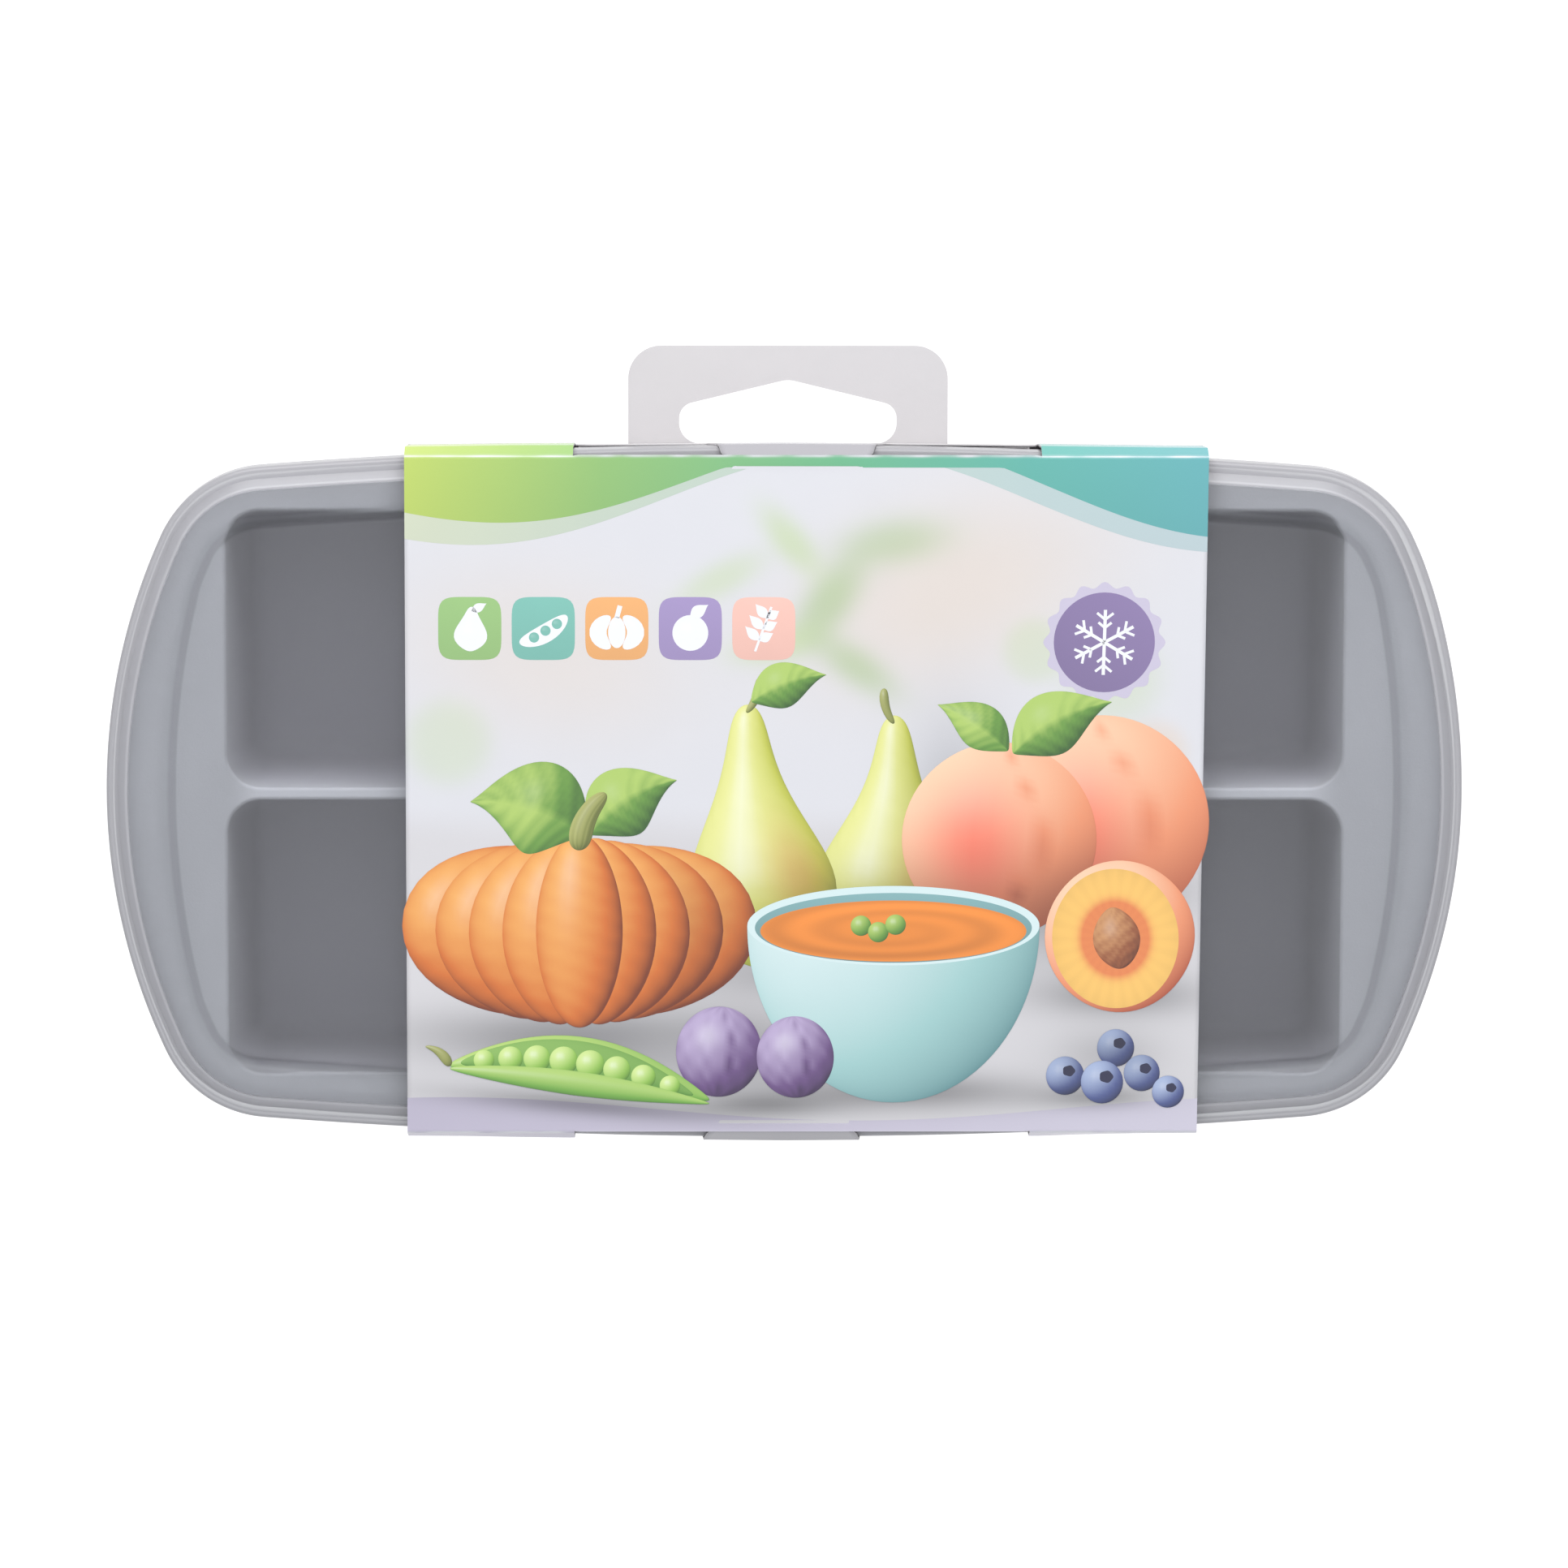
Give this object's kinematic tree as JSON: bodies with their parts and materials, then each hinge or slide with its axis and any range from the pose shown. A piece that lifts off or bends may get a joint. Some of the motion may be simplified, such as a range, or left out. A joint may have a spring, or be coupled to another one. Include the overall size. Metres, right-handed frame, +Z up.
{
  "type": "baby food freezer tray",
  "caption": "Silicone tray of deep square cells with a bowed rim, under a frosted snap-over lid, in a folded card sleeve with a hang tab.",
  "frame": {"origin": "centre of the tray on the flat underside of the card sleeve, which is the face the packed tray rests on", "axes": "+X along the tray, +Y towards the hang tab, +Z up, out of the lid"},
  "size_m": [0.2512, 0.1468, 0.0446],
  "materials": {
    "silicone": "matte grey silicone",
    "lid_plastic": "frosted translucent",
    "printed_card": "coated, printed",
    "plain_card": "coated, plain white"
  },
  "bodies": {
    "tray": {"silicone_tray": "silicone"},
    "lid": {"lid": "lid_plastic"},
    "sleeve": {"back_card": "plain_card", "hang_tab": "plain_card"},
    "front": {"front_card": "printed_card"},
    "upper_flap": {"upper_lock_flap": "plain_card"},
    "lower_flap": {"lower_lock_flap": "plain_card"}
  },
  "joints": [
    {"name": "sleeve_slide", "type": "slide", "parent": "tray", "child": "sleeve", "axis": [1, 0, 0], "range_m": [-0.21, 0.21]},
    {"name": "front_open", "type": "hinge", "parent": "sleeve", "child": "front", "pos_m": [0, 0.06482, 0.031], "axis": [-1, 0, 0], "range_deg": [0, 110]},
    {"name": "upper_flap_open", "type": "hinge", "parent": "sleeve", "child": "upper_flap", "pos_m": [0, 0.06302, 0.00069], "axis": [-1, 0, 0], "range_deg": [0, 78]},
    {"name": "lower_flap_open", "type": "hinge", "parent": "sleeve", "child": "lower_flap", "pos_m": [0, -0.06302, 0.00069], "axis": [1, 0, 0], "range_deg": [0, 78]},
    {"name": "lid_lift", "type": "slide", "parent": "tray", "child": "lid", "axis": [0, 0, 1], "range_m": [0, 0.019]}
  ],
  "couplings": [
    {"joint": "front_open", "follows": "lid_lift", "rad_per_m": 100},
    {"joint": "upper_flap_open", "follows": "lid_lift", "rad_per_m": 70},
    {"joint": "lower_flap_open", "follows": "lid_lift", "rad_per_m": 70}
  ]
}
